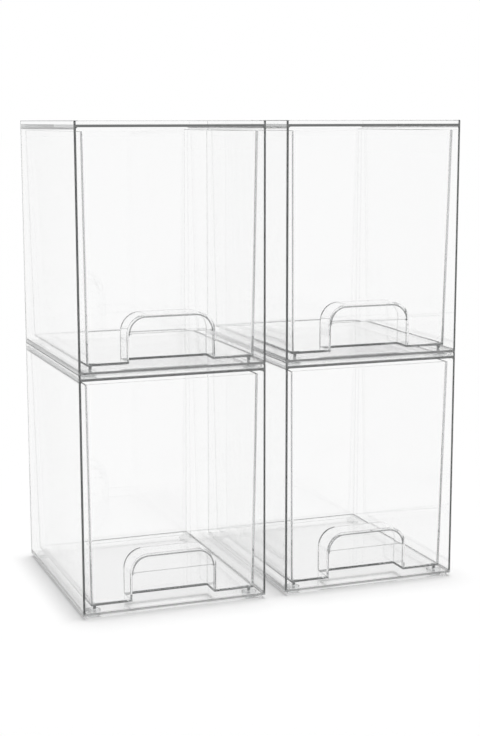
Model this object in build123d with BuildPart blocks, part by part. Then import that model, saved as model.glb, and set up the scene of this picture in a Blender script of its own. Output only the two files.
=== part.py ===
from build123d import *

import os
from math import atan2, degrees

# Stackable organizer drawers: two stacks of two clear moulded units. Each unit is a case that is open at the front,
# a drawer with an arched finger pocket, and four bumper feet. Millimetres, fronts towards -Y, standing on Z = 0.

# Case: outside width and depth, and the height of its side walls up to the top plate's upper face
case_width = 135.0
case_depth = 164.0
case_height = 166.2
case_wall = 1.5
case_floor = 1.6
case_top = 1.8
case_corner_radius = 0.4
# The inside narrows from the front opening to the back wall, so that the mould's core can be drawn forward
case_core_draft = 0.6
opening_radius = 1.5

# Rim round the top plate, and the skirt under the floor that nests inside the rim of the unit below
rim_height = 2.6
rim_wall = 1.5
rim_edge_chamfer = 0.3
nest_clearance = 0.5
skirt_height = 2.4
skirt_wall = 1.5
skirt_edge_chamfer = 0.3

# Drawer: a tub that widens upward, measured from the case's front face and floor
drawer_wall = 1.5
drawer_floor = 1.6
drawer_top_clearance = 2.6
drawer_side_clearance = 3.3
drawer_side_draft = 2.1
drawer_front_setback = 2.1
drawer_front_draft = 3.2
drawer_back_clearance = 0.3
drawer_bottom_chamfer = 0.5
drawer_lip_chamfer = 0.3
drawer_corner_radius = 0.8
drawer_inside_radius = 0.8
drawer_inside_chamfer = 0.5

# Runners under the drawer, which slide on the case's floor
runner_width = 2.0
runner_height = 2.9
runner_inset = 2.1
runner_end_inset = 2.0
runner_lead = 1.0
runner_clearance = 0.1

# Finger pocket: an arch behind the drawer's front, with a lip over the upper part of its mouth
pocket_half_width = 30.5
pocket_depth = 15.4
pocket_height = 32.4
pocket_radius = 12.5
pocket_wall = 1.5
mouth_height = 20.6
mouth_radius = 3.0
pocket_edge_chamfer = 0.6
mouth_edge_chamfer = 0.4

# Bumper feet under the case, inside the corners of the skirt
foot_diameter = 11.0
foot_proud = 0.4
foot_clearance = 0.3

# The set: two stacks with a gap between them
stack_gap = 15.3
cut_overrun = 5.0

# Heights above the underside of the case's floor, and places from the middle of the unit
case_front = -case_depth / 2
case_inside_half_width = case_width / 2 - case_wall
case_inside_back = case_depth / 2 - case_wall
case_inside_top = case_height - case_top
foot_height = skirt_height + foot_proud
stack_pitch = case_height + foot_height
skirt_inset = rim_wall + nest_clearance
drawer_top = case_inside_top - drawer_top_clearance
drawer_bottom = case_floor + runner_clearance + runner_height
drawer_height = drawer_top - drawer_bottom
drawer_top_half_width = case_inside_half_width - drawer_side_clearance
drawer_top_front = case_front + drawer_front_setback
drawer_top_back = case_inside_back - drawer_back_clearance
drawer_bottom_half_width = drawer_top_half_width - drawer_side_draft
drawer_bottom_front = drawer_top_front + drawer_front_draft
drawer_bottom_back = drawer_top_back - drawer_front_draft
drawer_middle = (drawer_top_front + drawer_top_back) / 2
pocket_front = drawer_bottom_front + drawer_wall
pocket_back = pocket_front + pocket_depth

# Draft angles, below zero because each block gets smaller away from its open end
front_draft_angle = -degrees(atan2(drawer_front_draft, drawer_height))
side_draft_angle = -degrees(atan2(drawer_side_draft, drawer_height))
core_draft_angle = -degrees(atan2(case_core_draft, case_inside_back - case_front))

# Core of the case: its hollow, from the front opening back to the slightly smaller section at the back wall
with BuildPart() as core:
    with BuildSketch(Plane.XZ.offset(-case_front)) as opening:
        with Locations((0, (case_floor + case_inside_top) / 2)):
            Rectangle(2 * case_inside_half_width, case_inside_top - case_floor)
    extrude(amount=case_front - case_inside_back)
    drafted_faces = core.faces().filter_by(Axis.X) + core.faces().filter_by(Axis.Z).sort_by(Axis.Z)[-1:]
    draft(drafted_faces, Plane.XZ.offset(-case_front), core_draft_angle)
    fillet(core.edges().group_by(Axis.Y)[1], opening_radius)

# Case: a block with that hollow
with BuildPart() as case:
    with BuildSketch(Plane.XY) as case_plan:
        RectangleRounded(case_width, case_depth, case_corner_radius)
    extrude(amount=case_height)

    # Rim, flush with the outside of the walls
    with BuildSketch(Plane.XY.offset(case_height)) as rim_plan:
        RectangleRounded(case_width, case_depth, case_corner_radius)
        Rectangle(case_width - 2 * rim_wall, case_depth - 2 * rim_wall, mode=Mode.SUBTRACT)
    extrude(amount=rim_height)
    chamfer(case.faces().sort_by(Axis.Z)[-1].edges(), rim_edge_chamfer)

    # Skirt, set in to clear the rim of the unit below
    with BuildSketch(Plane.XY) as skirt_plan:
        Rectangle(case_width - 2 * skirt_inset, case_depth - 2 * skirt_inset)
        offset(amount=-skirt_wall, kind=Kind.INTERSECTION, mode=Mode.SUBTRACT)
    extrude(amount=-skirt_height)
    chamfer(case.faces().sort_by(Axis.Z)[0].edges(), skirt_edge_chamfer)

    add(core.part, mode=Mode.SUBTRACT)

# Drawer: the tub's outside, drafted from its larger top to its smaller bottom
with BuildPart() as tub:
    with BuildSketch(Plane.XY.offset(drawer_top)) as tub_top:
        with Locations((0, drawer_middle)):
            Rectangle(2 * drawer_top_half_width, drawer_top_back - drawer_top_front)
    extrude(amount=-drawer_height)
    draft(tub.faces().filter_by(Axis.Y), Plane.XY.offset(drawer_top), front_draft_angle)
    draft(tub.faces().filter_by(Axis.X), Plane.XY.offset(drawer_top), side_draft_angle)
    fillet(tub.edges().group_by(Axis.Z)[1], drawer_corner_radius)
    chamfer(tub.faces().sort_by(Axis.Z)[0].edges(), drawer_bottom_chamfer)

# Shell of the finger pocket: what the arch cuts out of the tub's outside, so its front follows the drawer's lean
with BuildPart() as pocket_shell:
    add(tub.part)
    with BuildSketch(Plane.XZ.offset(-drawer_top_front + cut_overrun)) as shell_arch:
        with Locations((0, drawer_bottom)):
            Rectangle(
                2 * (pocket_half_width + pocket_wall),
                2 * (pocket_height + pocket_wall),
            )
        fillet(shell_arch.vertices(), pocket_radius + pocket_wall)
    extrude(
        amount=-(pocket_back + pocket_wall - drawer_top_front + cut_overrun),
        mode=Mode.INTERSECT,
    )
    shell_back_edges = pocket_shell.faces().sort_by(Axis.Y)[-1].edges()
    chamfer(shell_back_edges.sort_by(Axis.Z)[1:], pocket_edge_chamfer)

# Inside of the tub, one wall in from the outside, with a bevel round the floor
with BuildPart() as tub_inside:
    with BuildSketch(Plane.XY.offset(drawer_top)) as inside_top:
        with Locations((0, drawer_middle)):
            Rectangle(
                2 * (drawer_top_half_width - drawer_wall),
                drawer_top_back - drawer_top_front - 2 * drawer_wall,
            )
    extrude(amount=drawer_floor - drawer_height)
    draft(tub_inside.faces().filter_by(Axis.Y), Plane.XY.offset(drawer_top), front_draft_angle)
    draft(tub_inside.faces().filter_by(Axis.X), Plane.XY.offset(drawer_top), side_draft_angle)
    fillet(tub_inside.edges().group_by(Axis.Z)[1], drawer_inside_radius)
    chamfer(tub_inside.faces().sort_by(Axis.Z)[0].edges(), drawer_inside_chamfer)

# Drawer: the tub with its pocket and runners
with BuildPart() as drawer:
    add(tub.part)
    add(tub_inside.part, mode=Mode.SUBTRACT)

    # Finger pocket: its shell, then the arched space behind the lip, open at the bottom
    add(pocket_shell.part)
    with BuildSketch(Plane.XZ.offset(-pocket_front)) as pocket_arch:
        with Locations((0, drawer_bottom)):
            Rectangle(2 * pocket_half_width, 2 * pocket_height)
        fillet(pocket_arch.vertices(), pocket_radius)
    extrude(amount=-pocket_depth, mode=Mode.SUBTRACT)

    # Mouth of the pocket, through the drawer's front below the lip
    with BuildSketch(Plane.XZ.offset(-drawer_top_front + cut_overrun)) as mouth:
        with Locations((0, drawer_bottom)):
            Rectangle(2 * pocket_half_width, 2 * mouth_height)
        fillet(mouth.vertices(), mouth_radius)
    extrude(amount=-(pocket_front - drawer_top_front + cut_overrun), mode=Mode.SUBTRACT)
    mouth_edges = (
        drawer.faces()
        .filter_by(GeomType.PLANE)
        .sort_by(Axis.Y)[0]
        .edges()
        .filter_by_position(Axis.X, -pocket_half_width - pocket_wall, pocket_half_width + pocket_wall)
        .filter_by_position(Axis.Z, drawer_bottom, drawer_bottom + mouth_height + pocket_wall)
    )
    chamfer(mouth_edges, mouth_edge_chamfer)

    # Upper edge, bevelled inside and out
    chamfer(drawer.faces().sort_by(Axis.Z)[-1].edges(), drawer_lip_chamfer)

    # Runners, with a lead at both ends
    runner_length = drawer_bottom_back - drawer_bottom_front - 2 * runner_end_inset
    runner_middle = drawer_bottom_half_width - runner_inset - runner_width / 2
    with BuildSketch(Plane.XY.offset(drawer_bottom)) as runner_plan:
        with Locations((0, drawer_middle)):
            with GridLocations(2 * runner_middle, 0, 2, 1):
                Rectangle(runner_width, runner_length)
    extrude(amount=-runner_height)
    runner_soles = drawer.faces().filter_by(Axis.Z).sort_by(Axis.Z)[0:2]
    chamfer(runner_soles.edges().filter_by(Axis.X), runner_lead)

# Bumper foot: a soft disc stuck under the floor
with BuildPart() as foot:
    with BuildSketch(Plane.XY) as foot_plan:
        Circle(foot_diameter / 2)
    extrude(amount=-foot_height)

# Places of the feet under a case, and of the units in the set
foot_inset = skirt_inset + skirt_wall + foot_clearance + foot_diameter / 2
foot_x = case_width / 2 - foot_inset
foot_y = case_depth / 2 - foot_inset
unit_x = (stack_gap + case_width) / 2
lower_z = foot_height
upper_z = foot_height + stack_pitch
feet_places = {
    "foot_front_left": (-foot_x, -foot_y, 0),
    "foot_front_right": (foot_x, -foot_y, 0),
    "foot_back_left": (-foot_x, foot_y, 0),
    "foot_back_right": (foot_x, foot_y, 0),
}
unit_places = {
    "lower_left": (-unit_x, 0, lower_z),
    "lower_right": (unit_x, 0, lower_z),
    "upper_left": (-unit_x, 0, upper_z),
    "upper_right": (unit_x, 0, upper_z),
}

# Every unit is the same six pieces, each written as its own node
unit_pieces = {"case": case.part, "drawer": drawer.part}
for foot_name, foot_place in feet_places.items():
    unit_pieces[foot_name] = foot.part.moved(Location(foot_place))

os.makedirs("parts", exist_ok=True)
for unit_name, unit_place in unit_places.items():
    for piece_name, piece in unit_pieces.items():
        placed = piece.moved(Location(unit_place))
        placed.label = f"{unit_name}_{piece_name}"
        export_step(placed, f"parts/{placed.label}.step")
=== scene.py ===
import bmesh
import bpy
from math import cos, pi, radians, sin
from mathutils import Matrix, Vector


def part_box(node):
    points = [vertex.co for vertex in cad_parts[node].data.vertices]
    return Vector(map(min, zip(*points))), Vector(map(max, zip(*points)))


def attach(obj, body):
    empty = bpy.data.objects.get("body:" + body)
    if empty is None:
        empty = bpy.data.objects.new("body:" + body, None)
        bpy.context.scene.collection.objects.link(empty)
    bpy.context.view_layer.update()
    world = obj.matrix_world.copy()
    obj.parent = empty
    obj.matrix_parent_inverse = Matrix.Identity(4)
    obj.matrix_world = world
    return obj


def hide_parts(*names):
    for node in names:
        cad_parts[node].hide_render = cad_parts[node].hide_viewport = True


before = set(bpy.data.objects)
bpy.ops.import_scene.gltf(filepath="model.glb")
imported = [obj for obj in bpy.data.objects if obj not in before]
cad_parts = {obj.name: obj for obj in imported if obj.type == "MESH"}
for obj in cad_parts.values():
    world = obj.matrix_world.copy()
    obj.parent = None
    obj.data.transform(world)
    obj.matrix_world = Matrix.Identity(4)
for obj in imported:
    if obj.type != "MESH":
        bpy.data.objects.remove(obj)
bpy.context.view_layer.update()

# Cases: clear mouldings that are open at the front, each with a rim round its top plate and a skirt under
# its floor, which stands in the rim of the case below. Polished polystyrene, shot in one piece in a hard
# steel mould: glassy faces, faint flow marks, hairline scratches from use.

UNITS = ("lower_left", "lower_right", "upper_left", "upper_right")
left_case_low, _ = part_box("lower_left_case")
upper_case_low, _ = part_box("upper_left_case")
right_case_low, right_case_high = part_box("lower_right_case")
_, foot_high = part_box("lower_left_foot_front_left")
UNIT_X = (right_case_low[0] + right_case_high[0]) / 2
LOWEST_FLOOR = foot_high[2]
STACK_PITCH = upper_case_low[2] - left_case_low[2]
CASE_IOR = 1.55
CASE_ABSORPTION_PER_M = 3.0
DEPTH_TINT = (0.0, 0.02, 0.02, 1.0)
COLOURLESS = (1.0, 1.0, 1.0, 1.0)
FLOW_TINT = (0.998, 0.9985, 0.9985, 1.0)
FLOW_STRETCH = (1.0, 1.0, 0.3)
FLOW_DETAIL = 3.0
SCRATCH_SLANT = (radians(38.0), radians(27.0), radians(12.0))
SCRATCH_STRETCH = (1400.0, 1400.0, 14.0)
SCRATCH_DETAIL = 1.0
SCRATCH_PEAKS = (0.70, 0.78)

# Painted shade: dark lines painted into the colour along the edges, in place of the dark lines that light
# bent and
# reflected in the clear edges shows. Each has a share of full dark, and bands of place in metres:
# aside from the unit's middle, high over the unit's floor, deep and row_high in the frame of the whole row
CASE_FRONT = (-0.0821, -0.0816)
CASE_SIDE = (0.0655, 0.0680)
CASE_FLOOR_EDGE = (0.0, 0.0017)
RIM_LIP = (0.16835, 0.1691)
CASE_PAINTED_SHADE_LINES = {
    "wall_front": (1.0, {"deep": CASE_FRONT, "high": (0.0017, 0.1643)}),
    "top_plate_front": (0.97, {"deep": CASE_FRONT, "high": (0.1643, 0.1661)}),
    "floor_front": (0.65, {"deep": CASE_FRONT, "high": CASE_FLOOR_EDGE}),
    # Painted shade: the upper cases' floor edge painted darker, where it stands in the rim of the case below
    "upper_floor_front": (0.9, {"deep": CASE_FRONT, "high": CASE_FLOOR_EDGE, "row_high": (0.17, 0.35)}),
    "rim_corner": (1.0, {"deep": CASE_FRONT, "high": (0.1661, 0.1691), "aside": (0.0661, 0.0680)}),
    "rim_front": (0.45, {"deep": CASE_FRONT, "high": RIM_LIP}),
    "rim_side": (0.85, {"aside": CASE_SIDE, "high": RIM_LIP}),
    "ledge_beside_skirt": (0.85, {"aside": CASE_SIDE, "high": (-0.0001, 0.0003)}),
}


def math_step(tree, operation, *values):
    """Output of one sum in a node tree, whose values are numbers or other outputs."""
    step = tree.nodes.new("ShaderNodeMath")
    step.operation = operation
    for socket, value in zip(step.inputs, values):
        if isinstance(value, bpy.types.NodeSocket):
            tree.links.new(value, socket)
        else:
            socket.default_value = value
    return step.outputs["Value"]


def moulding_marks_and_painted_shade():
    """Node group: what a hard mould and use leave on clear plastic, as a tint and a roughness, and painted
    shade: a dark colour mixed into the tint along the edge lines.
    """
    group = bpy.data.node_groups.new("moulding_marks_and_painted_shade", "ShaderNodeTree")
    sockets = group.interface
    for name in ("Clear Tint", "Flow Tint", "Edge Tint"):
        sockets.new_socket(name, in_out="INPUT", socket_type="NodeSocketColor")
    for name in ("Flow Scale", "Polish", "Haze", "Edge"):
        sockets.new_socket(name, in_out="INPUT", socket_type="NodeSocketFloat")
    sockets.new_socket("Color", in_out="OUTPUT", socket_type="NodeSocketColor")
    sockets.new_socket("Roughness", in_out="OUTPUT", socket_type="NodeSocketFloat")
    nodes, links = group.nodes, group.links
    given = nodes.new("NodeGroupInput")
    result = nodes.new("NodeGroupOutput")
    place = nodes.new("ShaderNodeTexCoord")

    # Flow marks: broad soft streaks along the way the melt ran up the walls
    run = nodes.new("ShaderNodeMapping")
    run.inputs["Scale"].default_value = FLOW_STRETCH
    flow = nodes.new("ShaderNodeTexNoise")
    flow.inputs["Detail"].default_value = FLOW_DETAIL
    links.new(place.outputs["Object"], run.inputs["Vector"])
    links.new(run.outputs["Vector"], flow.inputs["Vector"])
    links.new(given.outputs["Flow Scale"], flow.inputs["Scale"])

    # Hairline scratches: noise drawn out along one slanted direction, of which only the peaks count
    slant = nodes.new("ShaderNodeMapping")
    slant.inputs["Rotation"].default_value = SCRATCH_SLANT
    slant.inputs["Scale"].default_value = SCRATCH_STRETCH
    hair = nodes.new("ShaderNodeTexNoise")
    hair.inputs["Scale"].default_value = 1.0
    hair.inputs["Detail"].default_value = SCRATCH_DETAIL
    peaks = nodes.new("ShaderNodeMapRange")
    peaks.inputs["From Min"].default_value, peaks.inputs["From Max"].default_value = SCRATCH_PEAKS
    links.new(place.outputs["Object"], slant.inputs["Vector"])
    links.new(slant.outputs["Vector"], hair.inputs["Vector"])
    links.new(hair.outputs["Fac"], peaks.inputs["Value"])

    # Tint follows the flow marks, and gives way to painted shade along the lines: a dark colour in place of
    # the dark lines that bent light shows at the edges
    tint = nodes.new("ShaderNodeMix")
    tint.data_type = "RGBA"
    links.new(flow.outputs["Fac"], tint.inputs["Factor"])
    links.new(given.outputs["Clear Tint"], tint.inputs["A"])
    links.new(given.outputs["Flow Tint"], tint.inputs["B"])
    painted_shade = nodes.new("ShaderNodeMix")
    painted_shade.data_type = "RGBA"
    links.new(given.outputs["Edge"], painted_shade.inputs["Factor"])
    links.new(tint.outputs["Result"], painted_shade.inputs["A"])
    links.new(given.outputs["Edge Tint"], painted_shade.inputs["B"])
    links.new(painted_shade.outputs["Result"], result.inputs["Color"])

    # Roughness: the mould's polish, clouded a little by the flow marks and by the scratches
    haze = given.outputs["Haze"]
    clouded = math_step(group, "MULTIPLY_ADD", flow.outputs["Fac"], haze, given.outputs["Polish"])
    scuffed = math_step(group, "MULTIPLY_ADD", peaks.outputs["Result"], haze, clouded)
    links.new(scuffed, result.inputs["Roughness"])
    return group


marks = moulding_marks_and_painted_shade()


def clear_plastic(name, ior, absorption, marks_and_shade_values):
    """Material: clear plastic with moulding marks and the colour of its painted edge shade, which swallows a
    little light along its depth.
    """
    material = bpy.data.materials.new(name)
    material.use_nodes = True
    tree = material.node_tree
    nodes, links = tree.nodes, tree.links
    surface = nodes["Principled BSDF"]
    surface.inputs["Transmission Weight"].default_value = 1.0
    surface.inputs["IOR"].default_value = ior
    # The marks node gives the moulding marks and the painted shade along the edge lines
    marked = nodes.new("ShaderNodeGroup")
    marked.name = "marks"
    marked.node_tree = marks
    for key, value in marks_and_shade_values.items():
        marked.inputs[key].default_value = value
    links.new(marked.outputs["Color"], surface.inputs["Base Color"])
    links.new(marked.outputs["Roughness"], surface.inputs["Roughness"])

    # Lamps shine through the walls where they fall square on them
    ray = nodes.new("ShaderNodeLightPath")
    bounce = nodes.new("ShaderNodeFresnel")
    bounce.inputs["IOR"].default_value = ior
    passed = math_step(tree, "MULTIPLY_ADD", bounce.outputs["Fac"], -1.0, 1.0)
    lets_through = math_step(tree, "MULTIPLY", passed, ray.outputs["Is Shadow Ray"])
    lit = nodes.new("ShaderNodeMixShader")
    links.new(lets_through, lit.inputs["Fac"])
    links.new(surface.outputs["BSDF"], lit.inputs[1])
    links.new(nodes.new("ShaderNodeBsdfTransparent").outputs["BSDF"], lit.inputs[2])
    links.new(lit.outputs["Shader"], nodes["Material Output"].inputs["Surface"])

    depth = nodes.new("ShaderNodeVolumeAbsorption")
    depth.inputs["Color"].default_value = DEPTH_TINT
    depth.inputs["Density"].default_value = absorption
    links.new(depth.outputs["Volume"], nodes["Material Output"].inputs["Volume"])
    return material


def unit_place(tree):
    """Outputs by name: where a point lies in its unit, and how high it lies in the row."""
    place = tree.nodes.new("ShaderNodeTexCoord")
    parts = tree.nodes.new("ShaderNodeSeparateXYZ")
    tree.links.new(place.outputs["Object"], parts.inputs["Vector"])
    from_row_middle = math_step(tree, "PINGPONG", parts.outputs["X"], UNIT_X)
    over_lowest_floor = math_step(tree, "SUBTRACT", parts.outputs["Z"], LOWEST_FLOOR)
    return {
        "aside": math_step(tree, "SUBTRACT", UNIT_X, from_row_middle),
        "deep": parts.outputs["Y"],
        "high": math_step(tree, "FLOORED_MODULO", over_lowest_floor, STACK_PITCH),
        "row_high": parts.outputs["Z"],
    }


def painted_shade_lines(tree, place, lines):
    """Mask of painted shade: the darkest of the painted dark lines at a point, each of which fills its bands
    of place.
    """
    darkest = 0.0
    for share, bands in lines.values():
        line = share
        for way, (low, high) in bands.items():
            inside = math_step(tree, "COMPARE", place[way], (low + high) / 2, (high - low) / 2)
            line = math_step(tree, "MULTIPLY", inside, line)
        darkest = math_step(tree, "MAXIMUM", line, darkest)
    return darkest


case_plastic = clear_plastic(
    "clear_case_plastic",
    CASE_IOR,
    CASE_ABSORPTION_PER_M,
    {
        "Clear Tint": COLOURLESS,
        "Flow Tint": FLOW_TINT,
        # Painted shade: near black along the case's edge lines
        "Edge Tint": (0.03, 0.032, 0.032, 1.0),
        "Flow Scale": 22.0,
        "Polish": 0.0,
        "Haze": 0.01,
    },
)
case_tree = case_plastic.node_tree
# Painted shade along the case's edge lines, mixed into its colour
case_painted_shade = painted_shade_lines(case_tree, unit_place(case_tree), CASE_PAINTED_SHADE_LINES)
case_tree.links.new(case_painted_shade, case_tree.nodes["marks"].inputs["Edge"])
for unit in UNITS:
    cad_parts[f"{unit}_case"].material_slots[0].material = case_plastic

# Drawers: clear mouldings too, tubs with a finger pocket and two runners, which slide on the case's floor.
# The same polystyrene, drawn up from a core, so that the walls lean outward. They are handled more than the
# cases, and carry a little more haze and stronger hairline scratches.

DRAWER_ABSORPTION_PER_M = 3.0
POCKET_BEND = (0.0180, 0.0245)
# Painted shade: dark lines painted along the drawer's floor edge, runner ends, finger lip and the pocket's
# arch, in place of the dark lines of bent light
DRAWER_PAINTED_SHADE_LINES = {
    "floor": (0.94, {"high": (0.00465, 0.00615)}),
    "runner_end": (1.0, {"aside": (0.0560, 0.0590), "deep": (-0.0750, -0.0735), "high": (0.0015, 0.0046)}),
    "lip": (0.6, {"aside": (0.0, 0.0310), "deep": (-0.0800, -0.0746), "high": (0.02515, 0.02565)}),
    "arch_back": (1.0, {"aside": (0.0, 0.0325), "deep": (-0.0592, -0.05832), "high": (0.0063, 0.0386)}),
    "arch_front": (1.0, {"bend": (0.0115, 0.0127), "deep": (-0.0753, -0.0741), "high": (0.0047, 0.0372)}),
}


def from_bend(tree, aside, high):
    """Output: how far a point lies outside the middle of the bend in the finger pocket's arch."""
    past = tree.nodes.new("ShaderNodeCombineXYZ")
    for value, start, socket in zip((aside, high), POCKET_BEND, ("X", "Z")):
        beyond = math_step(tree, "SUBTRACT", value, start)
        tree.links.new(math_step(tree, "MAXIMUM", beyond, 0.0), past.inputs[socket])
    reach = tree.nodes.new("ShaderNodeVectorMath")
    reach.operation = "LENGTH"
    tree.links.new(past.outputs["Vector"], reach.inputs[0])
    return reach.outputs["Value"]


drawer_plastic = clear_plastic(
    "clear_drawer_plastic",
    CASE_IOR,
    DRAWER_ABSORPTION_PER_M,
    {
        "Clear Tint": COLOURLESS,
        "Flow Tint": FLOW_TINT,
        # Painted shade: dark grey along the drawer's edge lines
        "Edge Tint": (0.13, 0.135, 0.135, 1.0),
        "Flow Scale": 26.0,
        "Polish": 0.0,
        "Haze": 0.015,
    },
)
# Painted shade along the drawer's edge lines, mixed into its colour
drawer_tree = drawer_plastic.node_tree
drawer_place = unit_place(drawer_tree)
drawer_place["bend"] = from_bend(drawer_tree, drawer_place["aside"], drawer_place["high"])
drawer_painted_shade = painted_shade_lines(drawer_tree, drawer_place, DRAWER_PAINTED_SHADE_LINES)
drawer_tree.links.new(drawer_painted_shade, drawer_tree.nodes["marks"].inputs["Edge"])
for unit in UNITS:
    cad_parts[f"{unit}_drawer"].material_slots[0].material = drawer_plastic

# Bumper feet: soft clear discs with a rounded sole edge and a slight taper, satin from handling. Cast in
# polyurethane and stuck under the corners of each case's floor, a hair of glue below it.

FEET = ("front_left", "front_right", "back_left", "back_right")
FOOT_IOR = 1.45
FOOT_ABSORPTION_PER_M = 5.0
FOOT_GLUE = 0.00006
FOOT_SOLE_LIFT = 0.00003
FOOT_EDGE = 0.0009
FOOT_TAPER = 0.0003
FOOT_SIDES = 48
FOOT_EDGE_STEPS = 6
SAME_POINT = 1e-6
FLAT_NORMAL = 0.99
foot_rubber = clear_plastic(
    "clear_foot_rubber",
    FOOT_IOR,
    FOOT_ABSORPTION_PER_M,
    {
        "Clear Tint": (0.80, 0.81, 0.81, 1.0),
        "Flow Tint": (0.62, 0.63, 0.63, 1.0),
        "Flow Scale": 300.0,
        "Polish": 0.03,
        "Haze": 0.06,
    },
)
for unit in UNITS:
    for foot in FEET:
        low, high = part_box(f"{unit}_foot_{foot}")
        middle = ((low[0] + high[0]) / 2, (low[1] + high[1]) / 2)
        radius = (high[0] - low[0]) / 2
        top, sole = high[2] - FOOT_GLUE, low[2] + FOOT_SOLE_LIFT

        # Half outline, from the top's middle down the tapered side and round the edge to the sole's middle
        outline = [(0.0, top), (radius, top)]
        for step in range(FOOT_EDGE_STEPS + 1):
            turn = pi / 2 * step / FOOT_EDGE_STEPS
            outline.append(
                (
                    radius - FOOT_TAPER - FOOT_EDGE * (1 - cos(turn)),
                    sole + FOOT_EDGE * (1 - sin(turn)),
                )
            )
        outline.append((0.0, sole))
        form = bmesh.new()
        line = [form.verts.new((middle[0] + reach, middle[1], height)) for reach, height in outline]
        edges = [form.edges.new(pair) for pair in zip(line, line[1:])]
        bmesh.ops.spin(
            form,
            geom=line + edges,
            cent=(middle[0], middle[1], 0.0),
            axis=(0.0, 0.0, 1.0),
            angle=2 * pi,
            steps=FOOT_SIDES,
            use_merge=True,
        )
        bmesh.ops.remove_doubles(form, verts=form.verts, dist=SAME_POINT)
        bmesh.ops.recalc_face_normals(form, faces=form.faces)
        for face in form.faces:
            face.smooth = abs(face.normal.z) < FLAT_NORMAL
        foot_mesh = bpy.data.meshes.new(f"{unit}_bumper_{foot}")
        form.to_mesh(foot_mesh)
        form.free()
        foot_mesh.materials.append(foot_rubber)
        bumper = bpy.data.objects.new(f"{unit}_bumper_{foot}", foot_mesh)
        bpy.context.scene.collection.objects.link(bumper)
        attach(bumper, f"{unit}_shell")
        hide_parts(f"{unit}_foot_{foot}")

# Stage: a matt white sweep under the set, and an even white room round it, which shows through the clear
# walls. Both look white to the camera, and a little duller to rays that have met the plastic. Lamps over the
# set and behind it lay the soft shadow round its base.

FLOOR_HALF = 30.0
FLOOR_WHITE = (0.98, 0.98, 0.98, 1.0)
FLOOR_GLOW_SHARE = 0.40
FLOOR_GLOW_THROUGH_SHARE = 0.58
FLOOR_GLOW_THROUGH = 0.955
ROOM_WHITE = (1.0, 1.0, 1.0, 1.0)
ROOM_THROUGH = 0.97
ROOM_FILL = 0.12

# Level of each lamp, and its spread and its lean about X and Y in degrees
LAMPS = {
    "top_lamp": (0.5, 4.0, (0.0, 1.0)),
    "back_lamp": (0.4, 8.0, (-2.0, 0.0)),
}
floor_mesh = bpy.data.meshes.new("floor")
floor_mesh.from_pydata(
    [
        (-FLOOR_HALF, -FLOOR_HALF, 0.0),
        (FLOOR_HALF, -FLOOR_HALF, 0.0),
        (FLOOR_HALF, FLOOR_HALF, 0.0),
        (-FLOOR_HALF, FLOOR_HALF, 0.0),
    ],
    [],
    [(0, 1, 2, 3)],
)
floor = bpy.data.objects.new("floor", floor_mesh)
bpy.context.scene.collection.objects.link(floor)
floor_paint = bpy.data.materials.new("floor_paint")
floor_paint.use_nodes = True
floor_tree = floor_paint.node_tree
paint = floor_tree.nodes["Principled BSDF"]
paint.inputs["Base Color"].default_value = FLOOR_WHITE
paint.inputs["Roughness"].default_value = 1.0
paint.inputs["Specular IOR Level"].default_value = 0.0

# Floor: part paint, which takes the shadow, and part glow
floor_ray = floor_tree.nodes.new("ShaderNodeLightPath").outputs
floor_through = math_step(
    floor_tree, "MAXIMUM", floor_ray["Is Glossy Ray"], floor_ray["Is Transmission Ray"]
)
floor_straight = math_step(floor_tree, "MULTIPLY", floor_ray["Is Camera Ray"], FLOOR_GLOW_SHARE)
glow_share = math_step(
    floor_tree, "MULTIPLY_ADD", floor_through, FLOOR_GLOW_THROUGH_SHARE, floor_straight
)
glow_level = floor_tree.nodes.new("ShaderNodeMapRange")
glow_level.inputs["To Min"].default_value = FLOOR_GLOW_THROUGH
glow_level.inputs["To Max"].default_value = 1.0
floor_tree.links.new(floor_ray["Is Camera Ray"], glow_level.inputs["Value"])
glow = floor_tree.nodes.new("ShaderNodeEmission")
floor_tree.links.new(glow_level.outputs["Result"], glow.inputs["Strength"])
floor_look = floor_tree.nodes.new("ShaderNodeMixShader")
floor_tree.links.new(glow_share, floor_look.inputs["Fac"])
floor_tree.links.new(paint.outputs["BSDF"], floor_look.inputs[1])
floor_tree.links.new(glow.outputs["Emission"], floor_look.inputs[2])
floor_tree.links.new(floor_look.outputs["Shader"], floor_tree.nodes["Material Output"].inputs["Surface"])
floor_mesh.materials.append(floor_paint)

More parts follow.
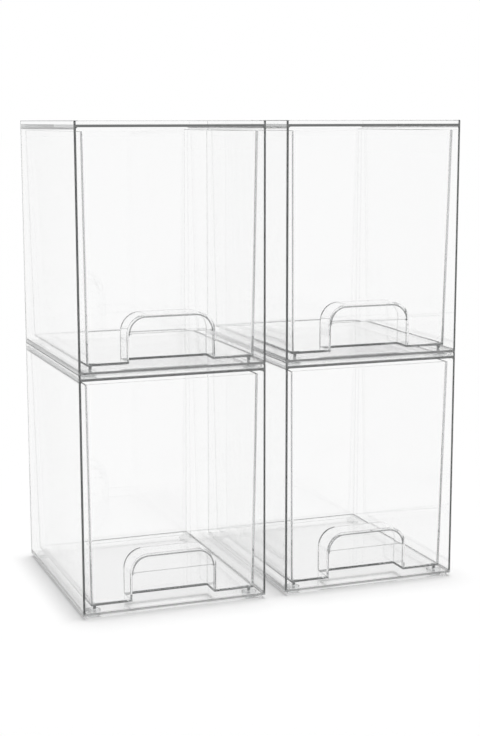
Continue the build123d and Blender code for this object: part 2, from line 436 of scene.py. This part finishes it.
# Room: white to the camera, nearly so through the plastic, and only a fill light to the floor
world = bpy.data.worlds.new("white_room")
world.use_nodes = True
room_tree = world.node_tree
room = room_tree.nodes["Background"]
room.inputs["Color"].default_value = ROOM_WHITE
room_ray = room_tree.nodes.new("ShaderNodeLightPath").outputs
room_through = math_step(
    room_tree, "MAXIMUM", room_ray["Is Glossy Ray"], room_ray["Is Transmission Ray"]
)
room_filled = math_step(room_tree, "MULTIPLY_ADD", room_through, ROOM_THROUGH - ROOM_FILL, ROOM_FILL)
room_level = math_step(room_tree, "MULTIPLY_ADD", room_ray["Is Camera Ray"], 1.0 - ROOM_FILL, room_filled)
room_tree.links.new(room_level, room.inputs["Strength"])
bpy.context.scene.world = world

# Lamps: only the floor shows them
for lamp_name, (level, spread, lean) in LAMPS.items():
    lamp_light = bpy.data.lights.new(lamp_name, "SUN")
    lamp_light.energy = level * pi
    lamp_light.angle = radians(spread)
    lamp = bpy.data.objects.new(lamp_name, lamp_light)
    lamp.rotation_euler = (radians(lean[0]), radians(lean[1]), 0.0)
    lamp.visible_glossy = False
    lamp.visible_transmission = False
    bpy.context.scene.collection.objects.link(lamp)
bpy.context.scene.view_settings.view_transform = "Standard"
bpy.context.scene.cycles.max_bounces = 128
bpy.context.scene.cycles.transmission_bounces = 96
bpy.context.scene.cycles.glossy_bounces = 96
bpy.context.scene.cycles.transparent_max_bounces = 48

# Camera: at the photograph's view, a long lens from the left, as high as the set's upper edge and tipped
# down. Its place, angles and lens were fitted to the corners of the cases.

CAMERA_PLACE = (-0.3818, -1.0305, 0.3406)
CAMERA_AZIMUTH = -20.509
CAMERA_ELEVATION = 9.567
CAMERA_ROLL = -0.0855
CAMERA_LENS = 71.91
LEVEL_VIEW = 90.0
view = bpy.data.cameras.new("camera")
view.lens = CAMERA_LENS
camera = bpy.data.objects.new("camera", view)
camera.matrix_world = (
    Matrix.Translation(CAMERA_PLACE)
    @ Matrix.Rotation(radians(CAMERA_AZIMUTH), 4, "Z")
    @ Matrix.Rotation(radians(LEVEL_VIEW - CAMERA_ELEVATION), 4, "X")
    @ Matrix.Rotation(radians(CAMERA_ROLL), 4, "Z")
)
bpy.context.scene.collection.objects.link(camera)
bpy.context.scene.camera = camera
